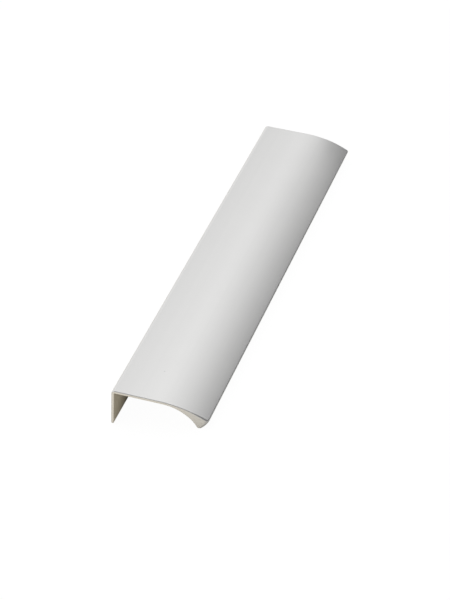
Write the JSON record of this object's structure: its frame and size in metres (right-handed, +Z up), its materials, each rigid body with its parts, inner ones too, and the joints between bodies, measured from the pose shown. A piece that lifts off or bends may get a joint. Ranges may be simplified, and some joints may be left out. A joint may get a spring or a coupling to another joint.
{
  "type": "edge pull",
  "caption": "Profile pull for the top edge of a cabinet front: flat plate, screw leg behind it and a crowned finger lip in front, resting on its foot and lip tip.",
  "frame": {"origin": "middle of the pull's outline on the floor it rests on", "axes": "+X from the leg towards the lip, +Y along the pull, +Z up. The section leans 11.24 degrees about +Y, lip down, as it rests on its foot and tip"},
  "size_m": [0.0396, 0.2, 0.0151],
  "materials": {
    "satin_metal": "satin anodised"
  },
  "bodies": {
    "root": {"edge_pull": "satin_metal"}
  },
  "joints": []
}
